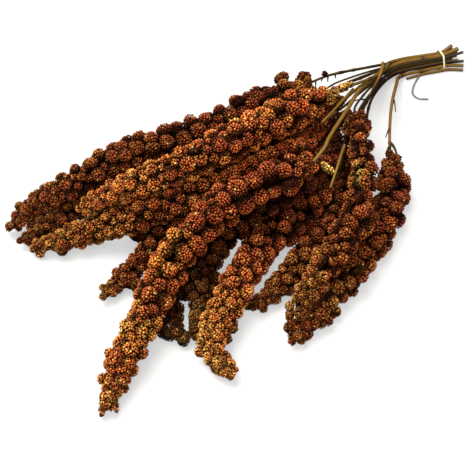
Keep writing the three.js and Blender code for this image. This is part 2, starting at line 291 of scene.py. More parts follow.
def blend(tree, fac, first, second):
    """Mixes a colour with a plain one by a value."""
    mix = add_node(tree, "ShaderNodeMix", data_type="RGBA")
    tree.links.new(fac, mix.inputs["Factor"])
    tree.links.new(first, mix.inputs["A"])
    mix.inputs["B"].default_value = (*second, 1)
    return mix.outputs["Result"]


def total(tree, first, second):
    """Adds two values."""
    add = add_node(tree, "ShaderNodeMath", operation="ADD")
    tree.links.new(first, add.inputs[0])
    tree.links.new(second, add.inputs[1])
    return add.outputs[0]


def span(tree, value, low, high):
    """Stretches a value from 0 to 1 over another span."""
    stretch = add_node(tree, "ShaderNodeMapRange")
    tree.links.new(value, stretch.inputs["Value"])
    stretch.inputs["To Min"].default_value = low
    stretch.inputs["To Max"].default_value = high
    return stretch.outputs["Result"]


def scaled(tree, colour, value):
    """Darkens or lightens a colour by a value."""
    scale = add_node(tree, "ShaderNodeVectorMath", operation="SCALE")
    tree.links.new(colour, scale.inputs["Vector"])
    tree.links.new(value, scale.inputs["Scale"])
    return scale.outputs["Vector"]


def dry_mottle():
    """Shader group for dry plant matter: soft blotches, and a fine grain for tone, shine and relief."""
    group = bpy.data.node_groups.new("dry_mottle", "ShaderNodeTree")
    group.interface.new_socket("Vector", in_out="INPUT", socket_type="NodeSocketVector")
    group.interface.new_socket("Scale", in_out="INPUT", socket_type="NodeSocketFloat")
    group.interface.new_socket("Blotches", in_out="OUTPUT", socket_type="NodeSocketFloat")
    group.interface.new_socket("Grain", in_out="OUTPUT", socket_type="NodeSocketFloat")
    entry = add_node(group, "NodeGroupInput")
    leave = add_node(group, "NodeGroupOutput")
    finer = add_node(group, "ShaderNodeMath", operation="MULTIPLY")
    finer.inputs[1].default_value = 5
    group.links.new(entry.outputs["Scale"], finer.inputs[0])
    for scale, detail, output in ((entry.outputs["Scale"], 2, "Blotches"), (finer.outputs[0], 4, "Grain")):
        noise = add_node(group, "ShaderNodeTexNoise")
        noise.inputs["Detail"].default_value = detail
        group.links.new(entry.outputs["Vector"], noise.inputs["Vector"])
        group.links.new(scale, noise.inputs["Scale"])
        spread = add_node(group, "ShaderNodeMapRange")
        spread.inputs["From Min"].default_value = 0.3
        spread.inputs["From Max"].default_value = 0.7
        group.links.new(noise.outputs["Fac"], spread.inputs["Value"])
        group.links.new(spread.outputs["Result"], leave.inputs[output])
    return group


MOTTLE = dry_mottle()


def mottle(tree, vector, scale):
    """Places the dry_mottle group in a material and returns its blotches and its grain."""
    node = add_node(tree, "ShaderNodeGroup", node_tree=MOTTLE)
    tree.links.new(vector, node.inputs["Vector"])
    node.inputs["Scale"].default_value = scale
    return node.outputs["Blotches"], node.outputs["Grain"]


def relief(tree, height, distance, strength):
    """Feeds a bump of this height to the material's shader."""
    bump = add_node(tree, "ShaderNodeBump")
    bump.inputs["Distance"].default_value = distance
    bump.inputs["Strength"].default_value = strength
    tree.links.new(height, bump.inputs["Height"])
    tree.links.new(bump.outputs["Normal"], tree.nodes["Principled BSDF"].inputs["Normal"])


def new_material(name, specular):
    """A material, with its node tree and its shader."""
    material = bpy.data.materials.new(name)
    material.use_nodes = True
    shader = material.node_tree.nodes["Principled BSDF"]
    shader.inputs["Specular IOR Level"].default_value = specular
    return material, material.node_tree, shader


straw_paint, tree, shader = new_material("dry_straw", specular=0.26)
blotches, grain = mottle(tree, read_values(tree, "straw_place").outputs["Vector"], scale=1.6)
ageing = total(tree, read_values(tree, "straw_age").outputs["Fac"], span(tree, blotches, -0.2, 0.2))
colour = colour_ramp(tree, ageing, STRAW_COLOURS)
colour = scaled(tree, colour, span(tree, grain, 0.5, 1.4))
colour = blend(tree, read_values(tree, "straw_joint").outputs["Fac"], colour, JOINT_BROWN)
colour = blend(tree, read_values(tree, "straw_cut").outputs["Fac"], colour, CUT_PITH)
tree.links.new(colour, shader.inputs["Base Color"])
tree.links.new(span(tree, grain, 0.35, 0.7), shader.inputs["Roughness"])
relief(tree, grain, distance=0.12 * MM, strength=0.6)

head_count = sum(name.startswith("head_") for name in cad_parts)
stem_routes = {}
for number in range(1, head_count + 1):
    chance = np.random.default_rng(STRAW_DRAWS + number)
    points = route_of(f"stem_{number}", RING_REACH)
    if number in STRAW_BENT_FROM:
        points = np.vstack([points[:STRAW_BENT_FROM[number]], np.array(STRAW_BENT_TO[number]) * MM])
    route, lengths = even_route(points, STRAW_STEP)
    stem_routes[number] = route
    radius = STRAW_RADIUS * STRAW_GIRTHS[number - 1]
    joints = chance.uniform(*JOINT_PLACES, JOINTS) * lengths[-1]
    swelling = sum(np.exp(-((lengths - joint) / JOINT_HALF_LENGTH) ** 2) for joint in joints)
    radii = radius * np.interp(lengths / lengths[-1], *STRAW_THINNING)
    straw = bar_along(f"straw_{number}", route, radii * (1 + JOINT_SWELL * swelling), STRAW_SIDES)
    hollow_end(straw, route, radius)
    finish_straw(straw, route, lengths, STRAW_AGES[number - 1], swelling)
    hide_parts(f"stem_{number}")


# Side twigs: bare dark stalks, thin as thread and knotty, left on the stems where lobes broke off. Near them
# lie a broken straw that the tie holds, four spent stalks that lost their heads, and one dry leaf sheath.
TWIG_RADIUS = 0.55 * MM
TWIG_STEP = 0.8 * MM
TWIG_SIDES = 6
TWIG_TIP = 0.6
TWIG_DROOP = 0.12
TWIG_KNOTS = 3.2 * MM  # twice the distance from knot to knot
KNOT_SWELL = 0.7
KNOT_BROWN = 0.5
# each twig: the straw it stands on, how far along it and which way it reaches in mm, its girth and its age
TWIGS = ((12, 100, (-11.5, -11.9, -0.5), 1, 1.1), (12, 137, (-11, -4.7, 0), 1, 1.1),
         (12, 153, (-9.1, -14.6, 1.5), 1.7, 0.9), (12, 157, (-8, -3, 3), 1.4, 0.9),
         (1, 130, (-1, -1, -3.5), 1, 1.1), (1, 139, (-2, -2, -4), 1, 1.1), (1, 146, (-1, 1, -4), 1, 1.1),
         (1, 153, (-2, -2, -5), 1, 1.1), (9, 112, (-12, 6, 2), 1.2, 1.1))
# each loose straw: its name, its points in mm, its girths along them and its age
LOOSE_STRAWS = (
    ("broken_straw",
     ((208.5, -9.5, 1.7), (201, -1, 1.7), (191.5, 4.6, 1.7), (180.5, 10.6, 1.7), (166, 16.2, 1.8)),
     (1, 1, 0.95, 0.9, 0.8), 0.3),
    ("spent_stalk_1",
     ((81.6, 7.6, 43), (63.9, 1.7, 47), (45.0, -3.8, 50), (29.0, -7.4, 51)),
     (0.7, 0.7, 0.65, 0.6), 0.1),
    ("spent_stalk_2",
     ((35.0, -24.6, 37), (24.3, -30.4, 38), (10.4, -38.2, 38), (-3.1, -44.8, 35)),
     (0.7, 0.7, 0.65, 0.6), -0.1),
    ("spent_stalk_3",
     ((144.3, 29, 17), (122.4, 26.7, 26), (101.7, 24.5, 34), (80.2, 22.9, 41), (62.5, 19.8, 46)),
     (0.6, 0.6, 0.55, 0.5), 0.7),
    ("spent_stalk_4",
     ((142.2, 26.4, 18), (124.8, 24.4, 25), (104.1, 21.4, 33), (86.5, 18.3, 40), (66.8, 13.8, 46)),
     (0.6, 0.6, 0.6, 0.5), 0.6),
    ("leaf_sheath",
     ((148, 29.5, 20.3), (138, 22.5, 25.4), (125, 15, 28.6), (115, 12.5, 24), (108, 11.5, 18)),
     (0.9, 1.1, 1, 0.7, 0.3), -0.1))

for index, (number, along, way, girth, age) in enumerate(TWIGS, start=1):
    start = stem_routes[number][int(round(along * MM / STRAW_STEP))]
    way = np.array(way) * MM
    droop = np.array([0, 0, -TWIG_DROOP]) * np.linalg.norm(way)
    route, lengths = even_route([start, start + way * 0.5 - droop, start + way], TWIG_STEP)
    swelling = np.cos(lengths / TWIG_KNOTS * 2 * math.pi) ** 8
    thinning = np.interp(lengths / lengths[-1], [0, 1], [1, TWIG_TIP])
    radii = TWIG_RADIUS * girth * thinning * (1 + KNOT_SWELL * swelling)
    twig = bar_along(f"twig_{index}", route, radii, TWIG_SIDES)
    finish_straw(twig, route, lengths, age, swelling * KNOT_BROWN)

for name, points, girths, age in LOOSE_STRAWS:
    route, lengths = even_route(np.array(points) * MM, STRAW_STEP)
    radii = STRAW_RADIUS * np.interp(lengths / lengths[-1], np.linspace(0, 1, len(girths)), girths)
    straw = bar_along(name, route, radii, STRAW_SIDES)
    hollow_end(straw, route, radii[0])
    finish_straw(straw, route, lengths, age, np.zeros(len(route)))


# The tie: a thin wire in a cream coating, once round the bundle near the cut ends. Its loose end lies on the
# surface, where the coating has gone grey.
WIRE_RADIUS = 0.82 * MM
WIRE_STEP = 0.8 * MM
WIRE_SIDES = 8
WIRE_RING_REACH = 1.4 * MM
WIRE_COLOURS = ((0.0, 0.60, 0.58, 0.40), (0.5, 0.50, 0.49, 0.35),
                (0.62, 0.12, 0.13, 0.12), (1.0, 0.17, 0.18, 0.17))

wire_paint, tree, shader = new_material("cream_wire", specular=0.4)
place = add_node(tree, "ShaderNodeTexCoord").outputs["Object"]
blotches, grain = mottle(tree, place, scale=300)
colour = colour_ramp(tree, read_values(tree, "wire_along").outputs["Fac"], WIRE_COLOURS)
tree.links.new(scaled(tree, colour, span(tree, blotches, 0.7, 1.3)), shader.inputs["Base Color"])
tree.links.new(span(tree, grain, 0.35, 0.65), shader.inputs["Roughness"])
relief(tree, grain, distance=0.05 * MM, strength=0.4)

route, lengths = even_route(route_of("tie_wire", WIRE_RING_REACH), WIRE_STEP)
route[:, 2] = np.maximum(route[:, 2], WIRE_RADIUS)
wire = bar_along("tie", route, np.full(len(route), WIRE_RADIUS), WIRE_SIDES)
bpy.ops.object.shade_smooth_by_angle(angle=SMOOTH_ANGLE)
_, nearest = corners_by_route(wire, route)
set_values(wire.data, "wire_along", lengths[nearest] / lengths[-1])
wire.data.materials.append(wire_paint)
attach(wire, "root")
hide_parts("tie_wire")


# Seed heads: each is one dried spike of red foxtail millet. Round clusters of seeds crowd on a stalk, and
# every seed is a small glossy grain in its husk. They grew as one piece with the stalk inside.
SEED_RADIUS = 1.08 * MM
SEED_RISE = 1.05 * MM
SEED_ROOT = 0.7 * MM
SEED_SIDES = 5
CELL_REACH = 0.46

bpy.ops.mesh.primitive_cone_add(vertices=SEED_SIDES, radius1=SEED_RADIUS, depth=SEED_RISE,
                                end_fill_type="TRIFAN")
seed = bpy.context.object
bpy.ops.object.mode_set(mode="EDIT")
bpy.ops.mesh.select_all(action="SELECT")
bpy.ops.transform.translate(value=(0, 0, SEED_RISE / 2))
bpy.ops.mesh.select_all(action="DESELECT")
bpy.ops.object.mode_set(mode="OBJECT")
for corner in seed.data.vertices:
    corner.select = corner.co.length < MERGE
bpy.ops.object.mode_set(mode="EDIT")
bpy.ops.mesh.select_mode(type="VERT")
bpy.ops.transform.translate(value=(0, 0, -SEED_ROOT))
bpy.ops.object.mode_set(mode="OBJECT")
seed_corners = np.array([tuple(corner.co) for corner in seed.data.vertices])
seed_faces = np.array([tuple(face.vertices) for face in seed.data.polygons])
seed_height = (seed_corners[:, 2] + SEED_ROOT) / (SEED_RISE + SEED_ROOT)
# each seed has its own cell in the map, its upper faces in the left half and its lower ones in the right half
turns = np.arctan2(seed_corners[:, 1], seed_corners[:, 0])
on_ring = np.hypot(seed_corners[:, 0], seed_corners[:, 1]) > SEED_RADIUS / 2
flat = np.stack([np.cos(turns), np.sin(turns)], axis=1) * on_ring[:, None] * CELL_REACH
is_lower = (seed_faces == seed_corners[:, 2].argmin()).any(axis=1)[:, None, None]
turned = flat[seed_faces] * np.where(is_lower, (-1, 1), (1, 1))
seed_cells = (turned + 0.5 + is_lower * np.array((1, 0))) / (2, 1)
core_cells = np.array((((0.04, 0.04), (0.9, 0.04), (0.04, 0.9)), ((0.96, 0.96), (0.1, 0.96), (0.96, 0.1))))
bpy.data.objects.remove(seed)

bpy.ops.mesh.primitive_ico_sphere_add(subdivisions=1, radius=1)
ball = bpy.context.object
ball_corners = np.array([tuple(corner.co) for corner in ball.data.vertices])
ball_faces = np.array([tuple(face.vertices) for face in ball.data.polygons])
bpy.data.objects.remove(ball)

# clusters: large ones on the crests of a head's solid and small ones in the hollows between, finer at the tip
CLUSTER_DRAWS = 100
CREST_FACES = 5  # faces that meet at each corner of a crest
CREST_NEIGHBOURS = 4
CREST_SHARE = 0.45  # radius of a cluster for the distance between crests
CREST_LIMIT = 5.3 * MM
CREST_LIFT = (-0.4 * MM, 2.6 * MM)  # how far it stands out of the solid
HOLLOW_SHARE = 0.31
HOLLOW_LIMIT = 3.8 * MM
HOLLOW_LIFT = (-3.8 * MM, -1.6 * MM)  # how far its middle lies from the solid
HOLLOW_LIFT_TIP = (-2 * MM, -0.2 * MM)
HOLLOW_FILLED = 0.95  # share of the hollows that may hold a cluster
# painted shade of the clusters deep in the hollows, for the tone of those on the crests, fading out towards
# the tip
HOLLOW_PAINTED_SHADE = 0.7
HOLLOW_APART = 0.68  # least distance to the next cluster for the sum of their radii
CLUSTER_LEAST = 2.1 * MM
CLUSTER_UNEVEN = 0.2
TIP_FROM = 0.45
TIP_TO = 0.9
TIP_SIZE = 0.62
TIP_TAPER_FROM = 0.85
TIP_TAPER = 0.38
TIP_TAPERS = {9: 0.6}  # a head that tapers more
TIP_SPAN = 0.04
TIP_LOBE = 2.8 * MM
FORKED_FROM = {6: 0.955}  # the share from base to tip where a head forks
STRAY_SHARES = (0.85, 0.95)
STRAY_GAP = (2.5 * MM, 0.2 * MM)  # a cluster with a wider gap all round is left out
SLIM_BASES = {4: unit(np.array((-0.92, -0.23, 0.32)))}  # a head with a slim base, and the way of it
SLIM_LENGTH = 26 * MM
SLIM_WIDTH = 0.3
SLIM_SIZE = 0.55
LEVEL_SPAN = 0.03  # clusters within this share of each other are at one level of a head
LINK_REACH = 28 * MM  # longest step when a head is followed from its base to its tip
LINKS = 20
CROWDING_ROUNDS = 20
CROWDING_STEP = 0.3 * MM
CROWDING_GIVE = 0.25
# small clusters that stand off each head or lie low under it: x, y, z and radius in mm, and tone, which is
# painted shade when low and painted light when well above 1
LOOSE_LOBES = {
    1: ((18.4, 62.7, 36, 3.5, 0.5), (-65.5, 66.5, 40, 4.6, 0.95), (-155.5, 106.3, 18, 3, 0.8),
        (-166.9, 105.4, 7, 2.6, 0.8), (-94, 96.1, 30, 3, 0.8),
        # small lobes round its bare base
        (60, 58.5, 38, 3.9, 0.7), (55.5, 58.5, 38.5, 3.3, 0.7), (69.5, 47.5, 40, 3.2, 0.6),
        (72.5, 45.5, 39.5, 3, 0.6), (86.5, 39.5, 37, 1.9, 0.25)),
    2: ((-128.5, 90.5, 15, 4, 0.5), (-81, 59, 7, 5, 0.4), (-73.5, 58, 7, 5, 0.4), (-104, 69, 7, 5, 0.4),
        (-86.3, 63.2, 7, 5, 0.4), (-115.6, 71.3, 7, 5, 0.4), (-92.4, 32.3, 7, 5, 0.4),
        (-146, 97.5, 6, 4.5, 0.5)),
    3: ((-106.3, 46.5, 28, 4, 0.4),
        # a row on its flank, beside head 4
        (-51.2, 7.7, 41, 5, 1.05), (-45.4, 5.9, 42, 5.2, 1.05), (-37.5, 5.1, 42, 4.8, 1.05),
        (-29.2, 4.6, 42, 5.2, 1.05), (-21.1, 3.7, 42, 5, 1.05), (-13, 2.9, 41, 5.3, 1.05),
        (-4.5, 1.2, 40, 4.9, 1.05), (5.2, 0.6, 38, 5.2, 1.05), (13.5, -1.6, 36, 5, 1.05),
        (20.4, -5.2, 33, 4.8, 1.05),
        # single ones
        (-155.5, 61, 7, 3.4, 1), (1.1, 2.5, 28, 5, 0.9)),
    4: ((65.6, 10.4, 42, 3.2, 0.5), (67.3, 6.4, 41, 3, 0.45), (59.7, 8.2, 42, 3.4, 0.5),
        (61.6, 4.8, 40, 3.2, 0.4),
        # the tuft of husks on its base
        (68, 9, 50, 2.6, 0.8), (72, 11, 48.6, 2.2, 0.8), (72, 8, 49, 2.2, 0.8),
        (76.5, 9.5, 48.2, 2, 0.8), (80.5, 9, 46.8, 1.7, 0.8)),
    5: ((83, 33.5, 10, 5, 0.45), (90.3, 31.5, 9, 4.5, 0.35), (-101.2, 30.8, 12, 4.5, 0.4),
        (-140.9, 6.2, 8, 4.4, 0.8), (-140.1, 0.6, 8, 4.4, 0.6), (-110.5, 35.7, 8, 4.2, 0.5),
        (-108.9, 30.7, 8, 4.6, 0.4)),
    6: ((-190.3, -32.5, 15, 3, 1), (-213.8, -57.3, 11, 2.6, 1),
        # the two prongs of its forked tip
        (-208, -49, 6.5, 2.4, 1), (-211, -50, 6, 2.2, 1), (-213.5, -52, 5.4, 2, 1),
        (-216, -54.5, 5, 1.8, 1), (-218, -56.5, 4.4, 1.4, 1), (-204, -52.5, 6.5, 2.2, 1),
        (-206.5, -55, 5.6, 1.9, 1), (-208.5, -58, 5, 1.6, 1), (-210, -60.5, 4.4, 1.2, 1)),
    7: ((81.8, 16, 10, 4.5, 0.9), (-147, -46.9, 8, 4, 3.2), (-146.9, -50.4, 6, 3.6, 3.4),
        # a row low under the heap, painted dark as shade
        (76, 16, 7, 5, 0.3), (70, 14, 7, 5.5, 0.3), (61, 14, 7, 5.5, 0.3), (53, 12, 8, 5, 0.3),
        (45, 13, 7, 5, 0.3), (38, 15.5, 7, 5, 0.3), (33, 15.5, 7, 5, 0.3),
        # single ones on its outer half
        (-148, -51.5, 5.5, 3.4, 1), (-149.2, -31.4, 6, 4.2, 0.6), (-151.4, -37.6, 6, 4.2, 0.7),
        (-151, -41.9, 6, 4, 0.8), (-114.8, -19.9, 8, 4.5, 0.4)),
    8: ((-104.9, -37.4, 12, 4, 0.9), (0.7, -15.8, 12, 4, 0.9), (-133.7, -47.7, 12, 4.4, 2.4),
        (-137.5, -49.7, 9, 4, 2.4), (-106.5, -16, 7, 5.5, 0.2), (-121.5, -25, 7, 5, 0.2),
        (-22.4, -17, 10, 5, 0.6)),
    # head 9 starts with a row low under the heap, painted near black as shade
    9: ((58, -8, 6.5, 5, 0.12), (49, -13, 6.5, 5.5, 0.12), (42.5, -19, 6.5, 5.5, 0.12),
        (37, -14, 6.5, 5.5, 0.12), (31, -18, 6.5, 5, 0.12), (24, -20, 6.5, 5, 0.12),
        (27.5, -25, 6.5, 4.5, 0.12), (21.5, -26.5, 6.5, 4.5, 0.12), (-52, -16, 7, 5, 0.4),
        (-44, -16, 7, 5.5, 0.4), (-37.5, -17, 7, 5.5, 0.4), (-32, -17, 7, 5, 0.4),
        (-148.2, -67.4, 9, 3.1, 1), (-148.6, -81.9, 6, 2.8, 1), (-121.5, -69, 10, 3.2, 1),
        (-129.5, -72.1, 9, 3, 1), (-26.6, -45.6, 8, 4, 0.4),
        # a pale wisp beside the spent stalks, painted lighter where it lies in shade
        (10.1, -34.8, 34, 1.7, 2), (8.7, -33.5, 36, 2.2, 2), (7.3, -32.3, 38, 2.3, 2),
        (6.9, -30.5, 39, 2.1, 2), (6.2, -29.1, 40, 1.6, 2)),
    10: ((31.9, -24.9, 10, 4, 0.3), (-3.6, -40.9, 6, 4.5, 0.3), (-13.7, -44.7, 6, 4, 0.3),
         (6.5, -39, 6.5, 5, 0.2), (-98.2, -59.8, 5, 3.6, 0.7)),
    11: ((70.2, 2.1, 28, 4, 0.7), (59.7, -9.5, 15, 4, 0.5), (-94.4, -92.8, 8, 3.6, 1)),
    12: ((-73.3, -106.6, 8, 3, 0.9), (-63.9, -105.1, 8, 3, 0.9))}
# slits between heads, through which the sheet shows: start and end on the sheet, and half the width, in mm
SLITS = (((-58.4, -14.0), (-89.3, -24.6), 1.2),
         ((-41.1, -40.6), (-84.9, -52.4), 1.5),
         ((-122.1, -27.3), (-138.2, -44.9), 1.3))
SLIT_PUSH = 6 * MM

Clusters = namedtuple("Clusters", "middles radii outward share tone")


def crests_and_hollows(number):
    """Places and outward ways of a solid's crests, then of its hollows, and the number of crests."""
    solid = merged_solid(f"head_{number}")
    solid.normal_update()
    crowns = [face for face in solid.faces
              if all(len(corner.link_faces) == CREST_FACES for corner in face.verts)]
    crown_corners = {corner for face in crowns for corner in face.verts}
    hollows = [corner for corner in solid.verts if corner not in crown_corners
               and any(edge.other_vert(corner) in crown_corners for edge in corner.link_edges)]
    crests = [tuple(face.calc_center_median()) for face in crowns]
    crest_ways = [tuple(sum((corner.normal for corner in face.verts), Vector())) for face in crowns]
    places = np.array(crests + [tuple(corner.co) for corner in hollows])
    ways = unit(np.array(crest_ways + [tuple(corner.normal) for corner in hollows]))
    solid.free()
    return places, ways, len(crests)


def shares_from_base(number, places):
    """How far each place lies from the base of a head, 0, to its tip, 1, by way of the other places."""
    links = np.linalg.norm(places[:, None] - places[None], axis=2)
    links[links > LINK_REACH] = np.inf
    from_base = np.linalg.norm(places - stem_routes[number][-1], axis=1)
    from_base[from_base > LINK_REACH] = np.inf
    for _ in range(LINKS):
        from_base = np.minimum(from_base, (from_base[None] + links).min(axis=1))
    return from_base / from_base.max()


def slimmed(number, points):
    """Draws points near the base of a head in to its axis; gives also the share of width that is left."""
    base = stem_routes[number][-1]
    axis = SLIM_BASES[number]
    along = (points - base) @ axis
    spine = base + along[:, None] * axis
    slim = np.interp(along, [0, SLIM_LENGTH], [SLIM_WIDTH, 1])
    return spine + (points - spine) * slim[:, None], slim


def crowded(middles, radii, ways):
    """Shifts clusters along the skin of their head until they press less into each other."""
    others = 1 - np.eye(len(middles))
    for _ in range(CROWDING_ROUNDS):
        gaps = middles[:, None] - middles[None]
        apart = np.linalg.norm(gaps, axis=2) + np.eye(len(middles))
        press = np.clip(radii[:, None] + radii[None] + SEED_RISE - apart, 0, None) * others
        push = (gaps * (press / apart)[:, :, None]).sum(axis=1) * CROWDING_GIVE
        push -= ways * (push * ways).sum(axis=1, keepdims=True)
        middles = middles + np.clip(push, -CROWDING_STEP, CROWDING_STEP)
    return middles


def parted(middles, radii):
    """Moves clusters aside that would close a slit between heads."""
    for first, last, half_width in SLITS:
        start = np.array((*first, 0)) * MM
        reach = np.array((*last, 0)) * MM - start
        across = unit(np.cross(reach, view_back))
        along = np.cross(view_back, across)
        share = (middles - start) @ along / (reach @ along)
        off = (middles - start) @ across
        push = np.clip(radii + SEED_RISE / 2 + half_width * MM - np.abs(off), 0, SLIT_PUSH)
        push = np.where((share > 0) & (share < 1), push, 0)
        middles = middles + (np.sign(off) * push)[:, None] * across
    return middles


def with_loose_lobes(number, grown):
    """Adds a head's tip and its loose small clusters to those that grew on it."""
    loose = np.array(LOOSE_LOBES[number])
    if number not in FORKED_FROM:
        tip = grown.middles[grown.share > grown.share.max() - TIP_SPAN].mean(axis=0) / MM
        loose = np.vstack([[*tip, TIP_LOBE / MM, 1], loose])
    loose_middles = loose[:, 0:3] * MM
    beside = np.linalg.norm(loose_middles[:, None] - grown.middles[None], axis=2).argmin(axis=1)
    radii = np.concatenate([grown.radii, loose[:, 3] * MM])
    return Clusters(middles=parted(np.vstack([grown.middles, loose_middles]), radii),
                    radii=radii,
                    outward=np.vstack([grown.outward, np.tile((0, 0, 1), (len(loose), 1))]),
                    share=np.concatenate([grown.share, grown.share[beside]]),
                    tone=np.concatenate([grown.tone, loose[:, 4]]))


def clusters_of(number, chance):
    """Round clusters of a head: middles, radii, outward ways, shares from base to tip, and tones."""
    places, ways, crest_count = crests_and_hollows(number)
    is_crest = np.arange(len(places)) < crest_count
    share = shares_from_base(number, places)
    size = np.interp(share, [TIP_FROM, 1], [1, TIP_SIZE])
    tipward = np.interp(share, [TIP_FROM, TIP_TO], [0, 1])

    apart = np.linalg.norm(places[:, None] - places[None, :crest_count], axis=2)
    crest_apart = np.sort(apart[is_crest], axis=1)[:, 1:1 + CREST_NEIGHBOURS].mean(axis=1)
    radii = crest_apart[apart.argmin(axis=1)] * np.where(is_crest, CREST_SHARE, HOLLOW_SHARE)
    radii = np.clip(radii, CLUSTER_LEAST, size * np.where(is_crest, CREST_LIMIT, HOLLOW_LIMIT))
    radii = radii * chance.uniform(1 - CLUSTER_UNEVEN, 1 + CLUSTER_UNEVEN, len(radii))

    draw = chance.uniform(size=len(places))
    hollow_lift = (np.interp(draw, [0, 1], HOLLOW_LIFT) * (1 - tipward)
                   + np.interp(draw, [0, 1], HOLLOW_LIFT_TIP) * tipward)
    crest_lift = np.interp(draw, [0, 1], CREST_LIFT) * size - radii - SEED_RISE / 2
    middles = places + ways * np.where(is_crest, crest_lift, hollow_lift)[:, None]
    level = np.exp(-((share[:, None] - share[None]) / LEVEL_SPAN) ** 2)
    spine = level @ middles / level.sum(axis=1, keepdims=True)
    taper = np.interp(share, [TIP_TAPER_FROM, 1], [0, TIP_TAPERS.get(number, TIP_TAPER)])
    middles += (spine - middles) * taper[:, None]
    if number in SLIM_BASES:
        middles, slim = slimmed(number, middles)
        radii = radii * np.interp(slim, [SLIM_WIDTH, 1], [SLIM_SIZE, 1])

    # crests come first, and a hollow is filled where there is room left
    filled = is_crest | (chance.uniform(size=len(places)) < np.maximum(HOLLOW_FILLED, tipward))
    hollow_order = crest_count + chance.permutation(len(places) - crest_count)
    order = np.concatenate([np.flatnonzero(is_crest), hollow_order])
    kept = []
    for i in order[filled[order]]:
        reach = HOLLOW_APART * (radii[i] + radii[kept])
        if (np.linalg.norm(middles[kept] - middles[i], axis=1) > reach).all():
            kept.append(i)
    apart = np.linalg.norm(middles[kept][:, None] - middles[kept][None], axis=2)
    nearest_gap = np.sort(apart - radii[kept][:, None] - radii[kept], axis=1)[:, 1]
    strays = nearest_gap > np.interp(share[kept], STRAY_SHARES, STRAY_GAP)
    kept = [i for i, stray in zip(kept, strays) if not stray and share[i] < FORKED_FROM.get(number, 2)]
    # painted shade: clusters in the hollows are darker than those on the crests
    tone = np.where(is_crest, 1, HOLLOW_PAINTED_SHADE + (1 - HOLLOW_PAINTED_SHADE) * tipward)
    middles = crowded(middles[kept], radii[kept], ways[kept])
    return with_loose_lobes(number, Clusters(middles, radii[kept], ways[kept], share[kept], tone[kept]))


head_clusters = {}
for number in range(1, head_count + 1):
    head_clusters[number] = clusters_of(number, np.random.default_rng(CLUSTER_DRAWS + number))


def other_clusters(number):
    """The middles and radii of the clusters of all other heads."""
    others = [head_clusters[other] for other in head_clusters if other != number]
    return np.vstack([other.middles for other in others]), np.concatenate([other.radii for other in others])


# seeds: spread over the lumpy clusters, and left out where another cluster covers them or they face the stalk
SEED_DRAWS = 300
SEED_PITCH = 2 * MM
SEED_JITTER = 0.26 * MM
SEEDS_LEAST = 8
CLOSE_PACKING = 0.866
LUMPY = 0.16  # how far the lumps of a cluster rise for its radius
LUMPS = 1.7
FINER_FROM = 0.5
TIP_SEED = 0.74
ENDS = (0.07, 0.82)  # clusters between these shares of a head are bare on their inner side
BARE_INWARD = -0.3
BARE_UPWARD = 0.2
BLOCKED_AT = 0.8 * MM  # height in a seed that has to be clear of other clusters
CREVICE = 5 * MM
SURFACE_CLEAR = 0.85 * MM
# painted shade: a seed is darker the more it faces away from its cluster's outside and the deeper it lies
# between clusters; loose clusters and those at a head's ends are kept from the darkest of it
LOOSE_FACING = 0.12
END_FACING = 0.35
FACING_LIGHT = ((0.05, 0.8), (0.1, 1.2))  # how far a seed faces outward, and its brightness
CREVICE_LIGHT = ((0.1, 0.5), (0.5, 1.05))  # gap to the next cluster for the radius, and brightness
SEED_TILT = 0.18
SEED_SIZES = (0.86, 1.14)
SEED_DEPTH = 0.92


def even_ways(count, chance):
    """Ways that are evenly spread over a sphere, in a random turn."""
    index = np.arange(count) + 0.5
    height = 1 - 2 * index / count
    angle = index * math.pi * (3 - math.sqrt(5))
    flat = np.sqrt(1 - height ** 2)
    ways = np.stack([flat * np.cos(angle), flat * np.sin(angle), height], axis=1)
    turn, _ = np.linalg.qr(chance.normal(size=(3, 3)))
    return ways @ turn


def gap_to(points, middles, radii):
    """The gap from each point to the nearest of the balls."""
    apart = np.linalg.norm(points[:, None] - middles[None], axis=2) - radii
    return apart.min(axis=1, initial=CREVICE)


def seeds_of(number, chance):
    """Places, outward ways and clusters of a head's seeds, and the painted shade of each, by how open it lies
    to the light.
    """
    middles, radii, outward, share, _ = head_clusters[number]
    pitch = SEED_PITCH * np.interp(share, [FINER_FROM, 1], [1, TIP_SEED])
    grown = len(middles) - len(LOOSE_LOBES[number])
    far_middles, far_radii = other_clusters(number)
    all_middles = np.vstack([middles, far_middles])
    all_radii = np.concatenate([radii, far_radii])
    rows = []
    for i, (middle, radius, way) in enumerate(zip(middles, radii, outward)):
        count = max(int(4 * math.pi * radius ** 2 / (pitch[i] ** 2 * CLOSE_PACKING)), SEEDS_LEAST)
        spread = even_ways(count, chance)
        spread = unit(spread + chance.normal(scale=SEED_JITTER / radius, size=spread.shape))
        is_loose = i >= grown
        bare_inside = not is_loose and ENDS[0] < share[i] < ENDS[1]
        if bare_inside:
            spread = spread[(spread @ way > BARE_INWARD) | (spread[:, 2] > BARE_UPWARD)]
        lumps = np.sin(spread @ chance.normal(scale=LUMPS, size=(3, 3))).mean(axis=1, keepdims=True)
        points = middle + spread * radius * (1 + LUMPY * lumps)
        close = np.linalg.norm(all_middles - middle, axis=1) < all_radii + radius + CREVICE
        close[i] = False
        gaps = gap_to(points, all_middles[close], all_radii[close])
        is_open = gap_to(points + spread * BLOCKED_AT, all_middles[close], all_radii[close]) > 0
        least_facing = -1 if bare_inside else LOOSE_FACING if is_loose else END_FACING
        facing = np.maximum(spread @ way, least_facing)
        # painted shade at the rims of clusters and deep between them, and painted light on their outer faces
        bright = np.interp(facing, *FACING_LIGHT) * np.interp(gaps / radius, *CREVICE_LIGHT)
        keep = (points[:, 2] > -SURFACE_CLEAR) & is_open
        rows.append(np.column_stack([points, spread, np.full(len(points), i), bright])[keep])
    rows = np.vstack(rows)
    rows[:, 2] = np.maximum(rows[:, 2], SURFACE_CLEAR)
    return rows[:, 0:3], rows[:, 3:6], rows[:, 6].astype(int), rows[:, 7]


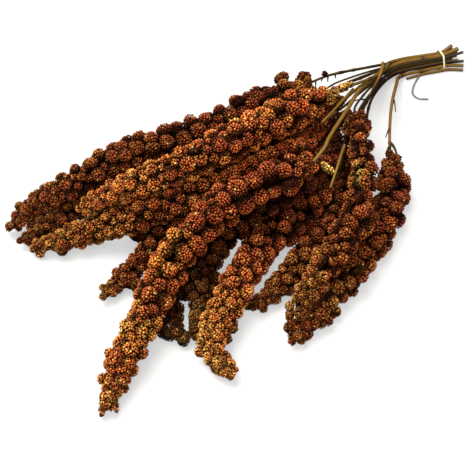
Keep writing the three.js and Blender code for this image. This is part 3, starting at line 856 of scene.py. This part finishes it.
def seed_copies(places, ways, share, chance):
    """Corners and faces of a copy of the seed at every place, and the ways that the copies point."""
    count = len(places)
    ways = unit(ways + chance.normal(scale=SEED_TILT, size=ways.shape))
    side = unit(np.cross(ways, unit(chance.normal(size=ways.shape))))
    finer = np.interp(share, [FINER_FROM, 1], [1, TIP_SEED])[:, None]
    scale = chance.uniform(*SEED_SIZES, (count, 1)) * finer
    axes = np.stack([side * scale, np.cross(ways, side) * scale * SEED_DEPTH, ways * scale], axis=2)
    corners = (np.einsum("nij,kj->nki", axes, seed_corners) + places[:, None]).reshape(-1, 3)
    faces = (seed_faces[None] + len(seed_corners) * np.arange(count)[:, None, None]).reshape(-1, 3)
    return corners, faces, ways


# core: the chaff inside a head, seen only in the gaps between the seeds and dark partly as painted shade; its
# drawn-in solid is painted near black as shade
CORE_REACH = 30 * MM
CORE_SINK = ((0.85, 0.97), (0.42, 0.8))  # shares from base to tip, and how far the solid is drawn in there
CORE_PAINTED_SHADE = 0.12


def core_of(number):
    """Corners and faces of the dark inside of a head: its solid drawn in, and a ball in every cluster."""
    solid = merged_solid(f"head_{number}")
    skin = np.array([tuple(corner.co) for corner in solid.verts])
    skin_faces = np.array([[corner.index for corner in face.verts] for face in solid.faces])
    solid.free()
    middles, radii, _, share, _ = head_clusters[number]
    beside = np.linalg.norm(skin[:, None] - middles[None], axis=2).argmin(axis=1)
    sink = np.interp(share[beside], *CORE_SINK)
    near = np.linalg.norm(skin[:, None] - skin[None], axis=2) < CORE_REACH
    skin = skin + (near @ skin / near.sum(axis=1, keepdims=True) - skin) * sink[:, None]
    if number in SLIM_BASES:
        skin, _ = slimmed(number, skin)
    balls = (middles[:, None] + ball_corners[None] * radii[:, None, None]).reshape(-1, 3)
    index = (ball_faces[None] + len(ball_corners) * np.arange(len(middles))[:, None, None]).reshape(-1, 3)
    corners = np.vstack([skin, balls])
    corners[:, 2] = np.maximum(corners[:, 2], SURFACE_CLEAR)
    return corners, np.vstack([skin_faces, index + len(skin)])


def map_places(seed_count, core_face_count):
    """Places in the map: a cell for each seed, and one for every two faces of the core."""
    seed_index = np.repeat(np.arange(seed_count), len(seed_faces))
    cells = np.concatenate([seed_index, seed_count + np.arange(core_face_count) // 2])
    inner = np.concatenate([np.tile(seed_cells, (seed_count, 1, 1)),
                            np.resize(core_cells, (core_face_count, 3, 2))])
    columns = math.ceil(math.sqrt((cells[-1] + 1) / 2))
    lines = math.ceil((cells[-1] + 1) / columns)
    return (inner + np.stack([cells % columns, cells // columns], axis=1)[:, None]) / (columns, lines)


# colours: husks ripen from red to gold and bleach to straw; painted shade darkens them under other heads and
# in crevices
HUSK_COLOURS = ((0.0, 0.23, 0.028, 0.003), (0.3, 0.32, 0.062, 0.006),
                (0.7, 0.52, 0.195, 0.022), (1.0, 0.57, 0.40, 0.10))
CHAFF_COLOURS = ((0.1, 0.012, 0.004, 0.0015), (0.9, 0.035, 0.011, 0.004))
HUSK_GLOSS = 0.8
HUSK_GLOSS_ROUGH = 0.3
# painted light and shade for each head, darker where it lies in shadow in the heap and lighter where it lies
# in the light
HEAD_PAINTED_SHADE = (0.68, 0.6, 1, 1.27, 0.88, 1.1, 0.32, 0.36, 1.3, 0.8, 0.76, 0.82)
# painted light: these heads are lighter towards their base, where they lie in shade between other heads
BASE_PAINTED_LIGHT = {3: 1.6, 7: 1.3, 8: 1.5}  # heads that are lighter towards their base
BASE_PAINTED_LIGHT_SHARES = (0.35, 0.75)
# painted shade under the clusters of other heads that lie above
COVER_SHADE = 0.35
CLUSTER_TONES = 0.1
SEED_TONES = (0.6, 1.36)
# painted shade: each seed is darker towards its foot, down between its neighbours
SEED_FOOT_SHADE = 0.55  # tone at the foot of a seed for that at its top
# how golden each head is at its tip and at its base
HEAD_GOLD = ((0.25, 0.12), (0.25, 0.12), (0.46, 0.15), (0.4, 0.4), (0.2, 0.12), (0.24, 0.15),
             (0.25, 0.12), (0.3, 0.12), (0.55, 0.15), (0.25, 0.12), (0.25, 0.25), (0.25, 0.2))
MIDDLE_GOLD = (0.15, 0.17)  # the same on the way from base to tip
CLUSTER_GOLDS = 0.07
SEED_GOLDS = ((0.4, 1), (0.13, 0.22))  # shares from base to tip, and how uneven the seeds are there
# painted light: seeds that face up and to the left, where the key light comes from, are painted more golden
LIT_SIDE = np.array((-0.62, 0.62, 0.48))
PAINTED_LIGHT_GOLD = 0.28
PAINTED_LIGHT_GOLD_SHARES = ((0.2, 0.8), (0.2, 1))  # shares from base to tip, and how much the painted light counts
SUNNY_SPOTS = 3
SUNNY_REACH = 16 * MM
SUNNY_GOLD = 0.17
RIPE_LIMIT = 0.85
PALE_SEEDS = 0.03
PALE_RIPENESS = (0.75, 1)
# bleached spots of some heads: x, y, z in mm, amount, and reach in mm
BLEACHED = {
    4: ((58, 4, 57, 0.25, 12), (76, 9.5, 48, 0.28, 10)),
    5: ((-160.8, 12.9, 8, 0.4, 8),),
    6: ((-114, -12, 50, 0.5, 9), (-129, -17, 42, 0.45, 9), (-209, -53, 6.5, 0.3, 12)),
    7: ((-149.8, -55.4, 6.3, 0.5, 8),),
    8: ((-135.3, -48.4, 10, 0.25, 9),),
    9: ((7.3, -32.3, 38, 0.9, 9),),
    11: ((19, -52, 40, 0.75, 7), (8, -58, 42, 0.7, 6), (25, -47, 36, 0.5, 6))}

husk_paint, tree, shader = new_material("millet_husk", specular=0.06)
place = add_node(tree, "ShaderNodeTexCoord").outputs["Object"]
blotches, grain = mottle(tree, place, scale=500)
ripening = total(tree, read_values(tree, "seed_ripeness").outputs["Fac"], span(tree, blotches, -0.08, 0.08))
colour = colour_ramp(tree, ripening, HUSK_COLOURS)
# seed_shade holds painted shade and painted light with each seed's own tone; it darkens the colour and thins
# the gloss coat
shading = read_values(tree, "seed_shade").outputs["Fac"]
tree.links.new(scaled(tree, colour, shading), shader.inputs["Base Color"])
tree.links.new(span(tree, grain, 0.24, 0.42), shader.inputs["Roughness"])
tree.links.new(span(tree, shading, 0, HUSK_GLOSS), shader.inputs["Coat Weight"])
shader.inputs["Coat Roughness"].default_value = HUSK_GLOSS_ROUGH
relief(tree, grain, distance=0.05 * MM, strength=0.4)

chaff_paint, tree, shader = new_material("dark_chaff", specular=0)
place = add_node(tree, "ShaderNodeTexCoord").outputs["Object"]
blotches, grain = mottle(tree, place, scale=350)
colour = colour_ramp(tree, blotches, CHAFF_COLOURS)
colour = scaled(tree, colour, read_values(tree, "seed_shade").outputs["Fac"])
tree.links.new(colour, shader.inputs["Base Color"])
tree.links.new(span(tree, grain, 0.8, 1.0), shader.inputs["Roughness"])
relief(tree, grain, distance=0.3 * MM, strength=0.6)


def ripeness_of(number, places, ways, owners, chance):
    """How ripe each seed of a head is, from red, 0, to bleached, 1, with painted light that makes the side
    facing the key light more golden.
    """
    middles, share = head_clusters[number].middles, head_clusters[number].share
    count = len(places)
    tip_gold, base_gold = HEAD_GOLD[number - 1]
    gold = np.interp(share, [0, 0.3, 0.6, 1], [base_gold, *MIDDLE_GOLD, tip_gold])
    for spot in middles[chance.integers(len(middles), size=SUNNY_SPOTS)]:
        gold = gold + SUNNY_GOLD * np.exp(-(np.linalg.norm(middles - spot, axis=1) / SUNNY_REACH) ** 2)
    gold = gold + chance.normal(0, CLUSTER_GOLDS, len(middles))
    # painted light on the lit side of each cluster
    painted_light = PAINTED_LIGHT_GOLD * np.clip(ways @ LIT_SIDE, 0, 1) ** 2 * np.interp(share[owners], *PAINTED_LIGHT_GOLD_SHARES)
    uneven = chance.normal(0, 1, count) * np.interp(share[owners], *SEED_GOLDS)
    ripeness = np.clip(gold[owners] + painted_light + uneven, 0, RIPE_LIMIT)
    for x, y, z, amount, reach in BLEACHED.get(number, ()):
        away = np.linalg.norm(places - np.array((x, y, z)) * MM, axis=1)
        ripeness = np.clip(ripeness + amount * np.exp(-(away / reach / MM) ** 2), 0, 1)
    is_pale = chance.uniform(size=count) < PALE_SEEDS
    return np.where(is_pale, chance.uniform(*PALE_RIPENESS, count), ripeness)


def shade_of(number, owners, bright, chance):
    """The tone of each seed of a head, with painted shade under other heads, in hollows and deep between
    clusters.
    """
    middles, _, _, share, tone = head_clusters[number]
    far_middles, far_radii = other_clusters(number)
    gaps = far_middles[None] - middles[:, None]
    far = np.linalg.norm(gaps, axis=2)
    cover = (np.clip(gaps[:, :, 2] / far, 0, None) * (far_radii / far) ** 2).sum(axis=1)
    cluster_shade = HEAD_PAINTED_SHADE[number - 1] * tone * chance.normal(1, CLUSTER_TONES, len(middles))
    cluster_shade = cluster_shade * np.exp(-COVER_SHADE * cover)
    cluster_shade = cluster_shade * np.interp(share, BASE_PAINTED_LIGHT_SHARES, [BASE_PAINTED_LIGHT.get(number, 1), 1])
    return cluster_shade[owners] * chance.uniform(*SEED_TONES, len(owners)) * bright


for number in range(1, head_count + 1):
    chance = np.random.default_rng(SEED_DRAWS + number)
    clusters = head_clusters[number]
    places, ways, owners, bright = seeds_of(number, chance)
    corners, faces, ways = seed_copies(places, ways, clusters.share[owners], chance)
    core_corners, core_faces = core_of(number)
    mesh = bpy.data.meshes.new(f"seed_head_{number}")
    mesh.from_pydata(np.vstack([corners, core_corners]), [], np.vstack([faces, core_faces + len(corners)]))
    spots = map_places(len(places), len(core_faces))
    mesh.uv_layers.new(name="OFBake").uv.foreach_set("vector", spots.ravel())
    mesh.shade_smooth()
    mesh.materials.append(husk_paint)
    mesh.materials.append(chaff_paint)
    is_core = np.repeat([0, 1], [len(faces), len(core_faces)])
    mesh.polygons.foreach_set("material_index", is_core.astype("i4"))

    ripeness = ripeness_of(number, places, ways, owners, chance)
    shade = shade_of(number, owners, bright, chance)
    # painted shade towards the foot of each seed
    seed_shade = shade[:, None] * (SEED_FOOT_SHADE + (1 - SEED_FOOT_SHADE) * seed_height)
    ball_corner_count = len(clusters.middles) * len(ball_corners)
    # painted shade: the drawn-in solid of the core is near black
    core_shade = np.repeat([CORE_PAINTED_SHADE, 1], [len(core_corners) - ball_corner_count, ball_corner_count])
    seed_ripeness = np.repeat(ripeness, len(seed_corners))
    set_values(mesh, "seed_ripeness", np.concatenate([seed_ripeness, np.zeros(len(core_corners))]))
    set_values(mesh, "seed_shade", np.concatenate([seed_shade.ravel(), core_shade]))
    head = bpy.data.objects.new(f"seed_head_{number}", mesh)
    bpy.context.collection.objects.link(head)
    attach(head, "root")
    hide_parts(f"head_{number}")
